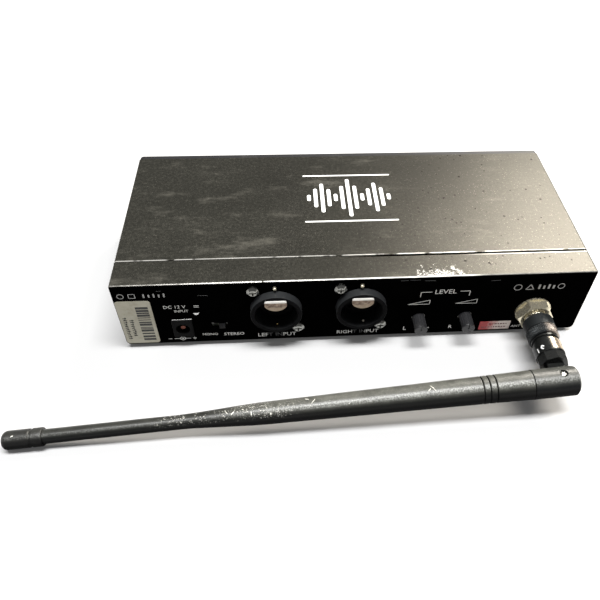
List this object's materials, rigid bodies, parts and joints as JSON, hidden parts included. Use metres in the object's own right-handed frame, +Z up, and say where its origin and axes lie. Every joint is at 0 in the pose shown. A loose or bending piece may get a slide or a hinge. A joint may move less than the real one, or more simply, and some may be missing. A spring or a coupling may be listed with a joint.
{
  "type": "wireless audio transmitter",
  "caption": "Half-rack wireless audio transmitter: folded metal box with combination inputs, power inlet and level controls at the rear and a swivelling elbow whip antenna on a bayonet plug.",
  "frame": {"origin": "on the table under the middle of the case", "axes": "+X to the right seen from behind, -Y out of the rear panel, +Z up"},
  "size_m": [0.2503, 0.1558, 0.04],
  "materials": {
    "cover_paint": "fine grained satin paint with a faint metallic fleck",
    "panel_paint": "satin black paint, worn at the top edge",
    "zinc_steel": "plain zinc-plated sheet",
    "bezel_plastic": "fine moulded texture",
    "smoked_window": "clear smoked acrylic",
    "foot_rubber": "matt rubber",
    "screw_steel": "nickel-plated steel",
    "circuit_board": "solder mask over glass fibre",
    "tinned_steel": "tinned sheet",
    "capacitor_sleeve": "shrunk sleeve",
    "chip_resin": "moulded resin",
    "cable_jacket": "smooth jacket",
    "ribbon_jacket": "grey ribbon",
    "black_plastic": "moulded glass-filled nylon",
    "bright_metal": "nickel plate, warm and scuffed",
    "dark_metal": "black nickel, worn to bronze",
    "latch_metal": "nickel-plated spring steel",
    "contact_brass": "gold-flashed brass",
    "white_insulator": "fluoropolymer",
    "elbow_plastic": "moulded plastic, worn smooth",
    "whip_rubber": "satin rubber, scuffed",
    "knob_plastic": "moulded plastic",
    "led_lens": "clear tinted resin",
    "display_glass": "glass over a liquid crystal cell"
  },
  "bodies": {
    "case": {"top_cover": "cover_paint", "rear_panel": "panel_paint", "base_tray": "zinc_steel", "front_bezel": "bezel_plastic", "display_window": "smoked_window", "rubber_feet": "foot_rubber", "cover_screws": "screw_steel", "bezel_screws": "screw_steel", "pcb_screws": "screw_steel", "socket_screws": "screw_steel", "ear_nuts": "screw_steel", "pcb_standoffs": "screw_steel", "main_board": "circuit_board", "control_board": "circuit_board", "rf_shield": "tinned_steel", "capacitors": "capacitor_sleeve", "chips": "chip_resin", "coax_cable": "cable_jacket", "ribbon_cable": "ribbon_jacket", "dc_inlet": "black_plastic", "dc_inlet_pin": "bright_metal", "mode_switch_body": "tinned_steel", "potentiometers": "tinned_steel", "left_input_shell": "black_plastic", "right_input_shell": "black_plastic", "left_input_insert": "black_plastic", "right_input_insert": "black_plastic", "input_contacts": "contact_brass", "antenna_socket": "bright_metal", "antenna_socket_nut": "bright_metal", "lock_washer": "bright_metal", "antenna_socket_insulator": "white_insulator", "antenna_socket_contact": "contact_brass", "phones_jack": "black_plastic", "status_led": "led_lens", "display_module": "display_glass", "tact_switches": "black_plastic"},
    "left_lock": {"left_input_latch": "latch_metal"},
    "right_lock": {"right_input_latch": "latch_metal"},
    "left_level": {"left_level_knob": "knob_plastic", "left_level_spindle": "bright_metal"},
    "right_level": {"right_level_knob": "knob_plastic", "right_level_spindle": "bright_metal"},
    "mode_lever": {"mode_switch_lever": "black_plastic"},
    "coupling": {"coupling_nut": "dark_metal"},
    "antenna_base": {"plug_shell": "dark_metal", "plug_insulator": "white_insulator", "plug_pin": "contact_brass", "retaining_ring": "bright_metal"},
    "whip": {"whip_elbow": "elbow_plastic", "whip_sleeve": "whip_rubber", "radiator_rod": "contact_brass", "tip_cap": "whip_rubber", "pivot_pin": "bright_metal"},
    "power_key": {"power_button": "knob_plastic"},
    "set_key": {"set_button": "knob_plastic"},
    "down_key": {"down_button": "knob_plastic"},
    "up_key": {"up_button": "knob_plastic"},
    "volume": {"volume_knob": "knob_plastic", "volume_spindle": "bright_metal"}
  },
  "joints": [
    {"name": "antenna_swivel", "type": "hinge", "parent": "case", "child": "antenna_base", "pos_m": [0.0813, -0.047, 0.0162], "axis": [0, -1, 0], "continuous": true},
    {"name": "antenna_elbow", "type": "hinge", "parent": "antenna_base", "child": "whip", "pos_m": [0.0813, -0.0872, 0.0162], "axis": [-0.0532, 0, 0.9986], "range_deg": [-2, 88]},
    {"name": "coupling_turn", "type": "hinge", "parent": "case", "child": "coupling", "pos_m": [0.0813, -0.047, 0.0162], "axis": [0, -1, 0], "range_deg": [0, 90]},
    {"name": "mode_slide", "type": "slide", "parent": "case", "child": "mode_lever", "axis": [-1, 0, 0], "range_m": [0, 0.0025]},
    {"name": "volume_turn", "type": "hinge", "parent": "case", "child": "volume", "pos_m": [-0.058, 0.047, 0.021], "axis": [0, 1, 0], "range_deg": [-150, 150]},
    {"name": "left_level_turn", "type": "hinge", "parent": "case", "child": "left_level", "pos_m": [0.0282, -0.047, 0.0136], "axis": [0, -1, 0], "range_deg": [-150, 150]},
    {"name": "right_level_turn", "type": "hinge", "parent": "case", "child": "right_level", "pos_m": [0.05, -0.047, 0.0136], "axis": [0, -1, 0], "range_deg": [-150, 150]},
    {"name": "left_lock_push", "type": "slide", "parent": "case", "child": "left_lock", "axis": [0, 1, 0], "range_m": [0, 0.0018], "stiffness_N_per_m": 600},
    {"name": "right_lock_push", "type": "slide", "parent": "case", "child": "right_lock", "axis": [0, 1, 0], "range_m": [0, 0.0018], "stiffness_N_per_m": 600},
    {"name": "power_press", "type": "slide", "parent": "case", "child": "power_key", "axis": [0, -1, 0], "range_m": [0, 0.0008], "stiffness_N_per_m": 800},
    {"name": "set_press", "type": "slide", "parent": "case", "child": "set_key", "axis": [0, -1, 0], "range_m": [0, 0.0008], "stiffness_N_per_m": 800},
    {"name": "down_press", "type": "slide", "parent": "case", "child": "down_key", "axis": [0, -1, 0], "range_m": [0, 0.0008], "stiffness_N_per_m": 800},
    {"name": "up_press", "type": "slide", "parent": "case", "child": "up_key", "axis": [0, -1, 0], "range_m": [0, 0.0008], "stiffness_N_per_m": 800}
  ]
}
